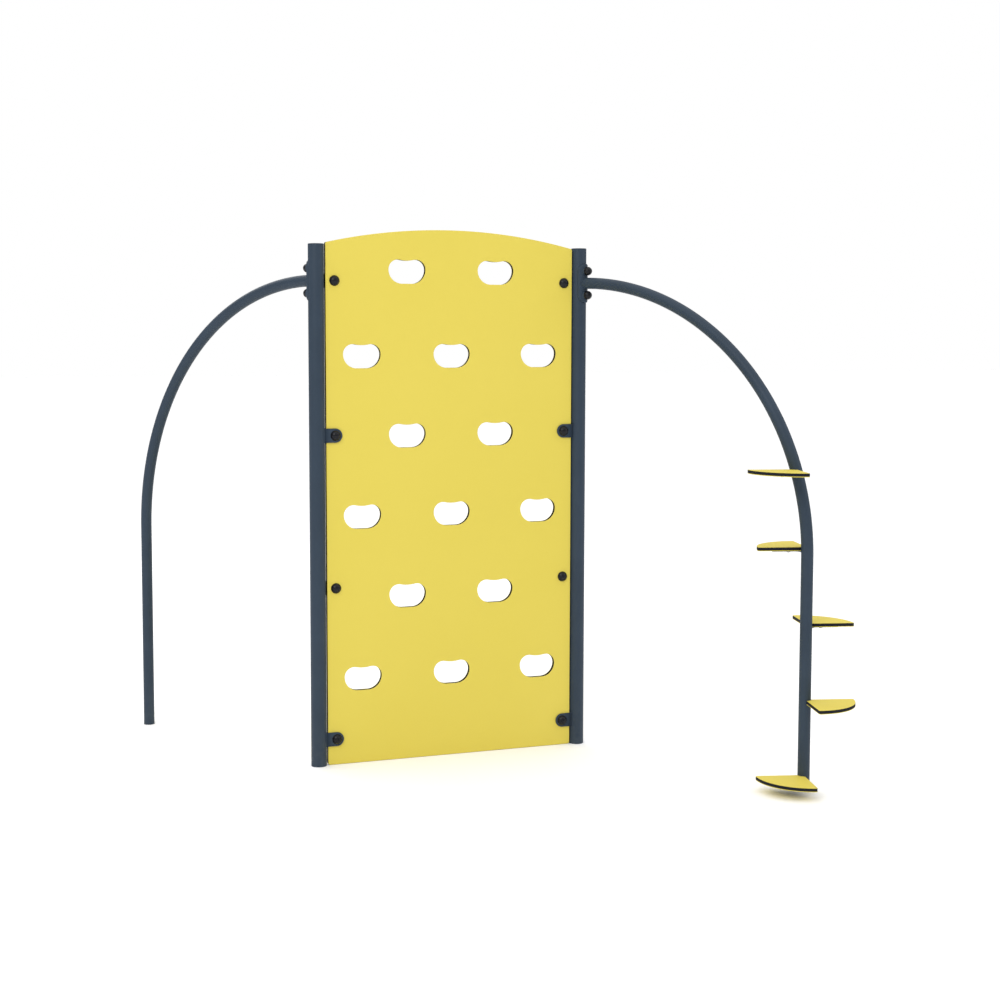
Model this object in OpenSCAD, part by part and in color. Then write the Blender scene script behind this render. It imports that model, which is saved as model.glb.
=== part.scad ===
// A playground climbing wall: two round posts hold one board with bean-shaped hand and foot openings.
// A bent tube leaves each post and comes down to the ground, and the right-hand one carries five steps.
// The origin is the middle of the left post's foot, x runs along the wall to the right post, z is up,
// and the front of the wall faces -y. The right-hand arch is the left-hand one after half a turn.

/* [Posts] */
// Distance between the axes of the two posts
post_spacing = 1078; // [1040:1:1120]
// Height of the post tops above the ground, caps included
post_h = 2000; // [1950:1:2050]
// Outside diameter of a post
post_d = 60.3; // [58:0.1:62]
// Wall thickness of a post
post_wall = 3; // [2.5:0.1:4]
// Thickness of the lid of a post cap
lid_t = 3; // [2:0.5:5]
// Depth of the plug of a post cap inside the post
plug_depth = 22; // [15:1:30]

/* [Climbing board] */
// Thickness of the board
board_t = 22; // [18:0.5:25]
// Gap between the board and a post
board_gap = 4; // [3:0.5:7]
// Height of the board's lower edge above the ground
board_bottom = 1; // [1:1:10]
// Height of the middle of the arched top edge above the ground
board_apex = 2060; // [2040:1:2080]
// Radius of the arched top edge
board_top_r = 2200; // [2000:10:2600]
// How far left of the board's middle its top edge is highest
board_top_shift = 20; // [0:1:40]
// Radius of the board's four corners
board_corner_r = 8; // [4:1:15]

/* [Openings] */
// Width of a hand and foot opening
open_w = 149; // [140:1:155]
// Height of an opening at its two upper lobes
open_h = 92; // [88:1:98]
// Radius of the two upper lobes
lobe_r = 38; // [36:1:40]
// Depth of the shallow dip between the lobes
dip = 4; // [3:0.5:6]
// Heights of the openings' lower edges above the ground, from the lowest row up
row_z = [285, 599, 914, 1223, 1530, 1853];
// Distance between neighbouring openings in a row of three
open_pitch = 363; // [355:1:370]

/* [Tabs and board fixings] */
// Height of the lowest pair of tabs above the ground
tab_z = 101; // [90:1:120]
// Vertical distance between two tabs
tab_pitch = 587; // [580:1:595]
// Thickness of a tab
tab_t = 6; // [5:0.5:8]
// Width of a tab, which ends in a half circle
tab_w = 54; // [50:1:58]
// Distance from a post's axis to its row of bolts
bolt_x = 68.5; // [64:0.5:72]
// Diameter of the clearance holes for the bolts
bolt_hole_d = 11; // [10.6:0.1:12]
// Diameter of the dome covers on the board's bolts
cover_d = 40; // [36:1:42]
// Height of a dome cover over a bolt head
cover_h = 15; // [14:0.5:17]
// Height of a dome cover over a nut
nut_cover_h = 19; // [18:0.5:22]

/* [Arches] */
// Outside diameter of an arch tube
tube_d = 44.5; // [42:0.5:46]
// Wall thickness of an arch tube
tube_wall = 2.6; // [2:0.1:3.5]
// Angle between the wall and the plane of an arch
arch_angle = 60; // [50:1:70]
// Height of the tube's axis at the post
arch_z = 1862; // [1840:1:1880]
// Radius of the quarter bend at the tube's axis
bend_r = 1010; // [990:1:1020]
// Distance from the post's axis at which the bend starts
bend_start = 23; // [20:1:24]

/* [Flanges] */
// Thickness of the curved flange plate between post and arch tube
flange_t = 6; // [5:0.5:8]
// Width of the flange plate, measured straight across
flange_w = 56; // [52:1:58]
// Height of the flange plate, which has half-circle ends
flange_h = 154; // [150:1:160]
// Distance between the flange's two bolts
flange_bolt_pitch = 95; // [90:1:98]
// Diameter of the dome covers and saddle washers on the flange bolts
flange_cover_d = 36; // [32:1:38]
// Height of a dome cover over a flange bolt
flange_cover_h = 23; // [14:0.5:26]
// Height of a saddle washer at its thinnest place
saddle_t = 3; // [2.5:0.5:5]

/* [Steps] */
// Height of the lowest step's tread above the ground
step_z = 51; // [40:1:70]
// Vertical distance between two treads
step_pitch = 280; // [270:1:290]
// Radius of a quarter-disc step
step_r = 180; // [170:1:190]
// Thickness of a step
step_t = 14; // [13:0.5:19]
// Radius of the two outer corners of a step
step_corner_r = 7; // [5:1:20]
// Clearance between a step and the tube
step_clearance = 1; // [0.5:0.1:2]
// Thickness of the welded plate under a step
plate_t = 4; // [3:0.5:6]
// Radius of the plate under a step
plate_r = 125; // [115:1:135]
// Distance from the plate's straight edges to those of the step
plate_inset = 16; // [12:1:20]

/* [Hidden] */
$fn = 64;

steel = [0.27, 0.32, 0.37];
yellow = [0.91, 0.84, 0.36];
black = [0.08, 0.08, 0.09];
zinc = [0.72, 0.73, 0.75];

post_r = post_d / 2;
tube_r = tube_d / 2;
flange_r = post_r + flange_t;
saddle_r = flange_r + saddle_t;

// Metric 10 bolts, nuts and washers
bolt_d = 10;
hex_flats = 16;
hex_d = hex_flats / cos(30);
head_h = 6.4;
nut_h = 8.4;
nut_play = 0.1;
washer_d = 20;
washer_t = 2;
thread_end = 2;
cover_bore_r = 12;
cover_room = 1;

// Blind inserts in the post wall, and the bolts that go into them
insert_d = 13;
insert_lip_d = 17;
insert_lip_t = 1.5;
insert_depth = 18;
flange_bolt_len = 28;

// Inserts and screws of the steps
step_insert_d = 12;
step_insert_len = 11;
step_screw_d = 8;
step_screw_head_d = 14;
step_screw_head_h = 4.4;
step_screw_hole_d = 9;
step_screw_len = 12;
// Distance along and across a step's middle line for each of its three screws
step_screw_xy = [[100, 0], [62, 26], [62, -26]];
neck_w = 30;

// How far a cutting shape runs past the shape that it cuts
over = 1;
// How far a step's corner circle runs past its outer arc, so that the two cross and don't just touch
corner_overrun = 0.02;

board_w = post_spacing - post_d - 2 * board_gap;
tabs = [1, 2, 3, 4];
steps = [1, 2, 3, 4, 5];

// Even tabs, counted from the ground, lie behind the board and odd ones in front of it
function tab_is_behind(i) = i % 2 == 0;
function tab_height(i) = tab_z + (i - 1) * tab_pitch;
function tread_height(i) = step_z + (i - 1) * step_pitch;
function front_face(i) = -board_t / 2 - (tab_is_behind(i) ? 0 : tab_t);
function rear_face(i) = board_t / 2 + (tab_is_behind(i) ? tab_t : 0);
// Distance from the post's axis to the axis of its arch tube at height z
function arch_reach(z) = bend_start
    + (z < arch_z - bend_r ? bend_r : sqrt(pow(bend_r, 2) - pow(z - arch_z + bend_r, 2)));
function direction(a) = [cos(a), sin(a)];

// ---- Placing ----

// Left-hand things stay where they are, right-hand ones are their mirror image in the wall's middle
module mirrored(side) {
    if (side == "left") children();
    else translate([post_spacing, 0, 0]) mirror([1, 0, 0]) children();
}

// Left-hand things stay where they are, right-hand ones are turned half round the wall's middle
module half_turned(side) {
    if (side == "left") children();
    else translate([post_spacing, 0, 0]) rotate([0, 0, 180]) children();
}

// Turns x away from the post, into the plane of its arch
module along_arch(side) {
    half_turned(side) rotate([0, 0, 180 - arch_angle]) children();
}

// Each bolt of the board, with z along the bolt and pointing to the front from the middle of the board
module at_board_bolt(side, i) {
    mirrored(side) translate([bolt_x, 0, tab_height(i)]) rotate([90, 0, 0]) children();
}

// Each bolt of a flange, with z pointing away from the post's axis
module at_flange_bolt(side, up) {
    along_arch(side)
        translate([0, 0, arch_z + up * flange_bolt_pitch / 2])
            rotate([0, 90, 0]) children();
}

// The middle of a step's tread, with x along the step's middle line: each step is a quarter turn on
module at_step(i) {
    z = tread_height(i);
    along_arch("right")
        translate([arch_reach(z), 0, z])
            rotate([0, 0, (i - 2) * 90]) children();
}

module at_step_screws(i) {
    at_step(i)
        for (p = step_screw_xy)
            translate([p[0], p[1], -step_t]) children();
}

// ---- Shared shapes ----

// What a corner of radius r loses, between the directions a0 and a1 from its centre
module corner_waste(r, a0, a1) {
    u = 2 * r * direction(a0);
    v = 2 * r * direction(a1);
    difference() {
        polygon([[0, 0], u, u + v, v]);
        circle(r = r);
    }
}

module slot(w, h) {
    square([w, h - w], center = true);
    for (s = [-1, 1]) translate([0, s * (h - w) / 2]) circle(d = w);
}

module tube(d, wall, h) {
    difference() {
        cylinder(d = d, h = h);
        translate([0, 0, -over]) cylinder(d = d - 2 * wall, h = h + 2 * over);
    }
}

module ring(d, hole, h) {
    tube(d, (d - hole) / 2, h);
}

// A hollow dome that stands on z = 0 over a bolt head or a nut
module dome_cover(d, h, room) {
    rim = 3;
    rise = h - rim;
    dome_r = (pow(d / 2, 2) + pow(rise, 2)) / (2 * rise);
    difference() {
        intersection() {
            cylinder(d = d, h = h + over);
            translate([0, 0, h - dome_r]) sphere(r = dome_r);
        }
        translate([0, 0, -over]) cylinder(r = cover_bore_r, h = room + over);
    }
}

// A bolt whose head stands on z = 0 and whose shank hangs below
module hex_bolt(len) {
    cylinder(d = hex_d, h = head_h, $fn = 6);
    translate([0, 0, -len]) cylinder(d = bolt_d, h = len);
}

// ---- Posts ----

module post(side) {
    color(steel)
        difference() {
            mirrored(side) tube(post_d, post_wall, post_h - lid_t);
            for (up = [-1, 1]) at_flange_bolt(side, up) cylinder(d = insert_d, h = post_d);
        }
}

module post_cap(side) {
    plug_r = post_r - post_wall;
    plug_wall = 2.5;
    color(steel)
        mirrored(side) {
            translate([0, 0, post_h - lid_t]) cylinder(d = post_d, h = lid_t);
            translate([0, 0, post_h - lid_t - plug_depth]) tube(2 * plug_r, plug_wall, plug_depth);
        }
}

// ---- Climbing board ----

// One opening, with its lower edge on y = 0: two lobes above, two wide corners and a flat below
module opening() {
    lobe_x = open_w / 2 - lobe_r;
    lobe_y = open_h - lobe_r;
    heel_x = open_w / 2 - lobe_y;
    dip_r = (pow(lobe_x, 2) + pow(lobe_r - dip, 2) - pow(lobe_r, 2)) / (2 * dip);
    difference() {
        union() {
            intersection() {
                union() {
                    for (s = [-1, 1]) translate([s * lobe_x, lobe_y]) circle(r = lobe_r);
                    translate([-lobe_x, 0]) square([2 * lobe_x, open_h]);
                }
                translate([-open_w, lobe_y]) square([2 * open_w, open_h]);
            }
            intersection() {
                union() {
                    for (s = [-1, 1]) translate([s * heel_x, lobe_y]) circle(r = lobe_y);
                    translate([-heel_x, 0]) square([2 * heel_x, open_h]);
                }
                translate([-open_w, 0]) square([2 * open_w, lobe_y]);
            }
        }
        translate([0, open_h - dip + dip_r]) circle(r = dip_r, $fn = 180);
    }
}

// The rows hold three and two openings by turns, those of the short rows between the others
module openings() {
    for (row = [0 : len(row_z) - 1]) {
        count = row % 2 == 0 ? 3 : 2;
        for (k = [0 : count - 1])
            translate([(k - (count - 1) / 2) * open_pitch, row_z[row]]) opening();
    }
}

// The board's outline without openings, x from its middle, y from the ground
module board_outline() {
    half_w = board_w / 2;
    top_z = board_apex - board_top_r;
    inner_r = board_top_r - board_corner_r;
    difference() {
        intersection() {
            translate([-half_w, board_bottom]) square([board_w, board_apex]);
            translate([-board_top_shift, top_z]) circle(r = board_top_r, $fn = 720);
        }
        for (s = [0, 1]) mirror([s, 0]) {
            reach = half_w - board_corner_r + (s == 0 ? board_top_shift : -board_top_shift);
            lean = asin(reach / inner_r);
            translate([half_w - board_corner_r, board_bottom + board_corner_r])
                corner_waste(board_corner_r, -90, 0);
            translate([half_w - board_corner_r, top_z + inner_r * cos(lean)])
                corner_waste(board_corner_r, 0, 90 - lean);
        }
    }
}

module wall_board() {
    color(yellow)
        difference() {
            translate([post_spacing / 2, board_t / 2, 0])
                rotate([90, 0, 0])
                    linear_extrude(board_t)
                        difference() {
                            board_outline();
                            openings();
                        }
            for (side = ["left", "right"], i = tabs)
                at_board_bolt(side, i) cylinder(d = bolt_hole_d, h = 2 * board_t, center = true);
        }
}

// ---- Tabs and board fixings ----

module tab(side, i) {
    rear = tab_is_behind(i) ? rear_face(i) : front_face(i) + tab_t;
    color(steel)
        difference() {
            mirrored(side)
                translate([0, rear, tab_height(i)])
                    rotate([90, 0, 0])
                        linear_extrude(tab_t)
                            difference() {
                                union() {
                                    translate([0, -tab_w / 2]) square([bolt_x, tab_w]);
                                    translate([bolt_x, 0]) circle(d = tab_w);
                                }
                                translate([bolt_x, 0]) circle(d = bolt_hole_d);
                            }
            mirrored(side) cylinder(d = post_d, h = post_h);
        }
}

module board_bolts() {
    color(zinc)
        for (side = ["left", "right"], i = tabs) {
            grip = rear_face(i) - front_face(i) + 2 * washer_t;
            at_board_bolt(side, i)
                translate([0, 0, -front_face(i) + washer_t])
                    hex_bolt(grip + nut_h + thread_end);
        }
}

module board_washers() {
    color(zinc)
        for (side = ["left", "right"], i = tabs)
            at_board_bolt(side, i) {
                translate([0, 0, -front_face(i)]) ring(washer_d, bolt_hole_d, washer_t);
                translate([0, 0, -rear_face(i) - washer_t]) ring(washer_d, bolt_hole_d, washer_t);
            }
}

module board_nuts() {
    color(zinc)
        for (side = ["left", "right"], i = tabs)
            at_board_bolt(side, i)
                translate([0, 0, -rear_face(i) - washer_t - nut_h])
                    difference() {
                        cylinder(d = hex_d, h = nut_h, $fn = 6);
                        translate([0, 0, -over])
                            cylinder(d = bolt_d + 2 * nut_play, h = nut_h + 2 * over);
                    }
}

module board_bolt_covers() {
    color(black)
        for (side = ["left", "right"], i = tabs)
            at_board_bolt(side, i)
                translate([0, 0, -front_face(i)])
                    dome_cover(cover_d, cover_h, washer_t + head_h + cover_room);
}

module board_nut_covers() {
    color(black)
        for (side = ["left", "right"], i = tabs)
            at_board_bolt(side, i)
                translate([0, 0, -rear_face(i)])
                    rotate([180, 0, 0])
                        dome_cover(cover_d, nut_cover_h, washer_t + nut_h + thread_end + cover_room);
}

// ---- Flanges ----

module flange(side) {
    color(steel)
        difference() {
            along_arch(side)
                intersection() {
                    translate([0, 0, arch_z - flange_h]) cylinder(r = flange_r, h = 2 * flange_h);
                    translate([0, 0, arch_z])
                        rotate([90, 0, 90]) linear_extrude(2 * flange_r) slot(flange_w, flange_h);
                }
            along_arch(side) cylinder(d = post_d, h = post_h);
            for (up = [-1, 1]) at_flange_bolt(side, up) cylinder(d = insert_lip_d, h = 2 * flange_r);
        }
}

// Blind inserts in the post wall: the lip lies in the flange's hole, the barrel inside the post
module flange_inserts() {
    color(zinc)
        for (side = ["left", "right"], up = [-1, 1])
            at_flange_bolt(side, up)
                difference() {
                    union() {
                        translate([0, 0, post_r - insert_depth])
                            cylinder(d = insert_d, h = insert_depth);
                        translate([0, 0, post_r]) cylinder(d = insert_lip_d, h = insert_lip_t);
                    }
                    translate([0, 0, post_r - insert_depth - over])
                        cylinder(d = bolt_d + 2 * nut_play, h = insert_depth + insert_lip_t + 2 * over);
                }
}

// Washers that are flat outside and hug the curved flange inside
module flange_saddle_washers() {
    color(steel)
        difference() {
            for (side = ["left", "right"], up = [-1, 1])
                at_flange_bolt(side, up)
                    translate([0, 0, flange_r / 2])
                        ring(flange_cover_d, bolt_hole_d, saddle_r - flange_r / 2);
            for (side = ["left", "right"]) along_arch(side) cylinder(r = flange_r, h = post_h);
        }
}

module flange_bolts() {
    color(zinc)
        for (side = ["left", "right"], up = [-1, 1])
            at_flange_bolt(side, up) translate([0, 0, saddle_r]) hex_bolt(flange_bolt_len);
}

module flange_bolt_covers() {
    color(black)
        for (side = ["left", "right"], up = [-1, 1])
            at_flange_bolt(side, up)
                translate([0, 0, saddle_r])
                    dome_cover(flange_cover_d, flange_cover_h, head_h + cover_room);
}

// ---- Arches ----

// A bent round bar along the arch: a quarter bend out of the post's axis and a straight leg below it
module arch_bar(r, below) {
    translate([bend_start, 0, arch_z - bend_r])
        rotate([90, 0, 0])
            rotate_extrude(angle = 90, $fn = 360) translate([bend_r, 0]) circle(r = r);
    translate([bend_start + bend_r, 0, -below])
        cylinder(r = r, h = arch_z - bend_r + below);
}

module arch_tube(side) {
    color(steel)
        along_arch(side)
            difference() {
                arch_bar(tube_r, 0);
                arch_bar(tube_r - tube_wall, over);
                translate([0, 0, arch_z - flange_h]) cylinder(r = flange_r, h = 2 * flange_h);
            }
}

// ---- Steps ----

// A quarter disc round the tube's axis, with its middle line along x
module quarter_disc() {
    corner_reach = step_r - step_corner_r + corner_overrun;
    lean = asin(step_corner_r / corner_reach);
    difference() {
        intersection() {
            circle(r = step_r, $fn = 180);
            rotate(-45) square(step_r);
        }
        for (s = [0, 1])
            mirror([0, s])
                translate(corner_reach * direction(45 - lean))
                    corner_waste(step_corner_r, 45 - lean, 135);
    }
}

module step(i) {
    color(yellow)
        difference() {
            at_step(i) translate([0, 0, -step_t]) linear_extrude(step_t) quarter_disc();
            along_arch("right") arch_bar(tube_r + step_clearance, over);
            at_step_screws(i)
                translate([0, 0, -over]) cylinder(d = step_insert_d, h = step_insert_len + over);
        }
}

// The steel plate under a step: a smaller quarter disc and a neck that is welded to the tube
module step_plate(i) {
    color(steel)
        difference() {
            at_step(i)
                translate([0, 0, -step_t - plate_t])
                    linear_extrude(plate_t) {
                        intersection() {
                            circle(r = plate_r, $fn = 180);
                            translate([plate_inset * sqrt(2), 0]) rotate(-45) square(plate_r);
                        }
                        translate([0, -neck_w / 2]) square([plate_r / 2, neck_w]);
                    }
            along_arch("right") arch_bar(tube_r, over);
            at_step_screws(i)
                translate([0, 0, -plate_t - over])
                    cylinder(d = step_screw_hole_d, h = plate_t + 2 * over);
        }
}

module step_inserts() {
    color(zinc)
        for (i = steps) at_step_screws(i)
            ring(step_insert_d, step_screw_d + 2 * nut_play, step_insert_len);
}

module step_screws() {
    color(zinc)
        for (i = steps) at_step_screws(i) {
            translate([0, 0, -plate_t - step_screw_head_h])
                cylinder(d = step_screw_head_d, h = step_screw_head_h);
            translate([0, 0, -plate_t]) cylinder(d = step_screw_d, h = step_screw_len);
        }
}

post("left");  // left_post
post("right");  // right_post
post_cap("left");  // left_post_cap
post_cap("right");  // right_post_cap
wall_board();
tab("left", 1);  // left_tab_1
tab("left", 2);  // left_tab_2
tab("left", 3);  // left_tab_3
tab("left", 4);  // left_tab_4
tab("right", 1);  // right_tab_1
tab("right", 2);  // right_tab_2
tab("right", 3);  // right_tab_3
tab("right", 4);  // right_tab_4
board_bolts();
board_washers();
board_nuts();
board_bolt_covers();
board_nut_covers();
flange("left");  // left_flange
flange("right");  // right_flange
flange_inserts();
flange_saddle_washers();
flange_bolts();
flange_bolt_covers();
arch_tube("left");  // left_arch_tube
arch_tube("right");  // right_arch_tube
step_plate(1);  // step_plate_1
step_plate(2);  // step_plate_2
step_plate(3);  // step_plate_3
step_plate(4);  // step_plate_4
step_plate(5);  // step_plate_5
step(1);  // step_1
step(2);  // step_2
step(3);  // step_3
step(4);  // step_4
step(5);  // step_5
step_inserts();
step_screws();
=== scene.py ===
"""Looks of a playground climbing wall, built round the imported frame, in metres.

A board with bean-shaped openings hangs between two posts. A bent tube leaves each post and comes down to
the ground, and the right-hand one carries five quarter-round steps. The front of the wall faces -y.
"""

import logging
import math
from collections.abc import Callable, Iterable, Sequence
from dataclasses import dataclass
from enum import Enum
from typing import Any

import bmesh
import bpy
from mathutils import Matrix, Vector


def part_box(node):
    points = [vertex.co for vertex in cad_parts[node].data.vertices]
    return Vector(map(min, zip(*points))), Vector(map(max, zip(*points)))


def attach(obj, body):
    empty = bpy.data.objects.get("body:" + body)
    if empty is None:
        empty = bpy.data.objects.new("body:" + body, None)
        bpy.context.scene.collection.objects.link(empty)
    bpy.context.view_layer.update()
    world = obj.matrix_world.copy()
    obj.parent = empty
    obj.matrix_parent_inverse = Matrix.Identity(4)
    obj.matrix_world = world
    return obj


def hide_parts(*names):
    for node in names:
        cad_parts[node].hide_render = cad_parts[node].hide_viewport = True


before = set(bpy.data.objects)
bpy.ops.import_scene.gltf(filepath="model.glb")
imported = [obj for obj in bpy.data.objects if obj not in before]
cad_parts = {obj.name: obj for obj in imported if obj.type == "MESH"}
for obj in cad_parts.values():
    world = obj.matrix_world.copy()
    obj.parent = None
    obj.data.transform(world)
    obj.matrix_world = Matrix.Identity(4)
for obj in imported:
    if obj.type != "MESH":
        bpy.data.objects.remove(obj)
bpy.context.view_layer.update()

log = logging.getLogger("climbing_wall")
Point = tuple[float, float]
Colour = tuple[float, float, float]
MM = 0.001
SHARP_ANGLE = 30.0
MERGE_DISTANCE = 1e-6
FLAT_NORMAL = 0.999
BENT_SHARP_ANGLE = 25.0
BEAD_SIDES = 10
POINTS_PER_RIPPLE = 5.0
BAR_POINTS = 260
BAR_SIDES = 72


class Side(Enum):
    """Which end of the wall a part belongs to."""

    LEFT = "left"
    RIGHT = "right"


class Axis(Enum):
    """The direction of a board's thickness, as an index into a vector."""

    Y = 1
    Z = 2


class Slot(Enum):
    """The record's material slots."""

    STEEL = "steel"
    BOARD = "board"
    STEP = "step"
    COVER = "cover"
    ZINC = "zinc"


# ---- Node trees ----


class Num:
    """A number socket that Python can calculate with. Each operator adds one Math node."""

    def __init__(self, nodes: "NodeMaker", socket: bpy.types.NodeSocket) -> None:
        """Wraps an output socket of a tree.

        Args:
            nodes: The maker of the tree's nodes.
            socket: The output that carries the number.
        """
        self.nodes = nodes
        self.socket = socket

    def maths(self, operation: str, *values: "Num | float") -> "Num":
        """Adds a Math node.

        Args:
            operation: The node's operation.
            values: Its operands, in order.

        Returns:
            The result.
        """
        return self.nodes.number("ShaderNodeMath", {"operation": operation}, dict(enumerate(values)))

    def __add__(self, other: "Num | float") -> "Num":
        """Adds."""
        return self.maths("ADD", self, other)

    __radd__ = __add__

    def __mul__(self, other: "Num | float") -> "Num":
        """Multiplies."""
        return self.maths("MULTIPLY", self, other)

    __rmul__ = __mul__

    def __sub__(self, other: "Num | float") -> "Num":
        """Subtracts another value from this one."""
        return self.maths("SUBTRACT", self, other)

    def __rsub__(self, other: float) -> "Num":
        """Subtracts this value from a plain number."""
        return self.maths("SUBTRACT", other, self)

    def __truediv__(self, other: "Num | float") -> "Num":
        """Divides by another value."""
        return self.maths("DIVIDE", self, other)

    def clamped(self) -> "Num":
        """Holds the value between 0 and 1."""
        return self.maths("MINIMUM", self.maths("MAXIMUM", self, 0.0), 1.0)


class NodeMaker:
    """Makes and links the nodes of one tree."""

    def __init__(self, tree: bpy.types.NodeTree) -> None:
        """Starts on a tree.

        Args:
            tree: A shader or geometry tree.
        """
        self.tree = tree

    def add(self, kind: str, settings: dict[str, Any] | None = None,
            inputs: dict[str | int, Any] | None = None) -> bpy.types.Node:
        """Adds a node, sets it up and feeds its inputs.

        Args:
            kind: The node's type name.
            settings: Its own properties; "stops" holds a colour ramp's (position, colour) pairs.
            inputs: Values or links, by the socket's identifier, its name or its place.

        Returns:
            The node.
        """
        node = self.tree.nodes.new(kind)
        for name, value in (settings or {}).items():
            if name == "stops":
                self._set_stops(node.color_ramp.elements, value)
            else:
                setattr(node, name, value)
        for key, value in (inputs or {}).items():
            self._feed(self._find(node.inputs, key), value)
        return node

    def number(self, kind: str, settings: dict[str, Any] | None = None,
               inputs: dict[str | int, Any] | None = None, output: str | int = 0) -> Num:
        """Adds a node and wraps one of its outputs.

        Args:
            kind: The node's type name.
            settings: As for add.
            inputs: As for add.
            output: The output, by identifier, name or place.

        Returns:
            The wrapped output.
        """
        node = self.add(kind, settings, inputs)
        return Num(self, self._find(node.outputs, output))

    @staticmethod
    def _set_stops(elements: Any, stops: Sequence[tuple[float, Colour]]) -> None:
        """Gives a colour ramp its stops."""
        while len(elements) < len(stops):
            elements.new(1.0)
        for element, (position, colour) in zip(elements, stops):
            element.position = position
            element.color = (*colour, 1.0)

    @staticmethod
    def _find(sockets: Any, key: str | int) -> bpy.types.NodeSocket:
        """A socket by its place, its identifier or its name."""
        if isinstance(key, int):
            return sockets[key]
        for socket in sockets:
            if socket.identifier == key:
                return socket
        return sockets[key]

    def _feed(self, socket: bpy.types.NodeSocket, value: Any) -> None:
        """Links an output to the socket, or sets its plain value."""
        if isinstance(value, Num):
            value = value.socket
        if isinstance(value, bpy.types.NodeSocket):
            self.tree.links.new(value, socket)
        elif isinstance(value, tuple) and socket.type == "RGBA":
            socket.default_value = (*value, 1.0)
        else:
            socket.default_value = value


class Shader(NodeMaker):
    """The tree of one material, around a Principled shader."""

    def __init__(self, name: str) -> None:
        """Starts a material.

        Args:
            name: The material's name.
        """
        self.material = bpy.data.materials.new(name)
        self.material.use_nodes = True
        super().__init__(self.material.node_tree)
        self.tree.nodes.clear()
        self.surface = self.add("ShaderNodeBsdfPrincipled")
        self.add("ShaderNodeOutputMaterial", {}, {"Surface": self.surface.outputs["BSDF"]})
        self.place = self.add("ShaderNodeTexCoord").outputs["Object"]

    def noise(self, per_metre: float, detail: float = 2.0, stretch: Vector | None = None) -> Num:
        """Noise from 0 to 1 that sits still in the object.

        Args:
            per_metre: How many waves it has in a metre.
            detail: Its octaves.
            stretch: A factor for each axis, for streaks.

        Returns:
            The noise's value.
        """
        where: Any = self.place
        if stretch is not None:
            streaks = {"Vector": self.place, "Scale": stretch}
            where = self.add("ShaderNodeMapping", {}, streaks).outputs[0]
        waves = {"Vector": where, "Scale": per_metre, "Detail": detail}
        return self.number("ShaderNodeTexNoise", {}, waves, "Fac")

    def cells(self, per_metre: float) -> Num:
        """The distance to the nearest of scattered points, for a pebbled surface.

        Args:
            per_metre: How many cells there are in a metre.

        Returns:
            The distance, from 0 at a cell's middle.
        """
        return self.number("ShaderNodeTexVoronoi", {"feature": "SMOOTH_F1"},
                           {"Vector": self.place, "Scale": per_metre}, "Distance")

    def height(self) -> Num:
        """The height above the ground, in metres."""
        return self.number("ShaderNodeSeparateXYZ", {}, {0: self.place}, "Z")

    def mix(self, share: Num | float, first: Any, second: Any) -> bpy.types.NodeSocket:
        """Mixes two colours.

        Args:
            share: How much there is of the second colour.
            first: A colour or a link.
            second: A colour or a link.

        Returns:
            The mixed colour.
        """
        node = self.add("ShaderNodeMix", {"data_type": "RGBA"},
                        {"Factor_Float": share, "A_Color": first, "B_Color": second})
        return self._find(node.outputs, "Result_Color")

    def bump(self, relief: Num, depth: float, below: Any = None) -> bpy.types.NodeSocket:
        """Turns a relief into a normal.

        Args:
            relief: Heights from 0 to 1.
            depth: The height of 1, in metres.
            below: A normal to start from.

        Returns:
            The normal.
        """
        inputs: dict[str | int, Any] = {"Height": relief, "Distance": depth, "Strength": 1.0}
        if below is not None:
            inputs["Normal"] = below
        return self.add("ShaderNodeBump", {}, inputs).outputs["Normal"]

    def finish(self, sockets: dict[str, Any]) -> bpy.types.Material:
        """Feeds the Principled shader.

        Args:
            sockets: Its values and links, by name.

        Returns:
            The finished material.
        """
        for name, value in sockets.items():
            self._feed(self.surface.inputs[name], value)
        return self.material


class GeometryTree(NodeMaker):
    """A Geometry Nodes tree with named inputs, which turns one mesh into another."""

    def __init__(self, name: str, inputs: dict[str, str]) -> None:
        """Starts a tree.

        Args:
            name: The tree's name.
            inputs: The kind of socket for each named input.
        """
        super().__init__(bpy.data.node_groups.new(name, "GeometryNodeTree"))
        interface = self.tree.interface
        interface.new_socket("Geometry", in_out="INPUT", socket_type="NodeSocketGeometry")
        interface.new_socket("Geometry", in_out="OUTPUT", socket_type="NodeSocketGeometry")
        self.identifiers = {
            label: interface.new_socket(label, in_out="INPUT", socket_type=f"NodeSocket{kind}").identifier
            for label, kind in inputs.items()
        }
        self.source = self.add("NodeGroupInput")

    def given(self, label: str) -> Num:
        """One of the tree's inputs."""
        return Num(self, self.source.outputs[label])

    def close(self, geometry: bpy.types.NodeSocket) -> None:
        """Ends the tree: instances become real, and the piece gets its material.

        Args:
            geometry: What the tree has made.
        """
        real = self.add("GeometryNodeRealizeInstances", {}, {0: geometry})
        dressed = self.add("GeometryNodeSetMaterial", {},
                           {"Geometry": real.outputs[0], "Material": self.given("Material")})
        self.add("NodeGroupOutput", {}, {0: dressed.outputs[0]})

    def run(self, base: bpy.types.Mesh, values: dict[str, Any]) -> bpy.types.Mesh:
        """Runs the tree on a mesh.

        Args:
            base: The mesh that goes in.
            values: A value for each named input.

        Returns:
            The plain mesh that comes out.
        """

        def set_up(carrier: bpy.types.Object) -> None:
            modifier = carrier.modifiers.new("tree", "NODES")
            modifier.node_group = self.tree
            for label, value in values.items():
                modifier[self.identifiers[label]] = value

        return evaluated(base, set_up)


# ---- Finishes ----


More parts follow.
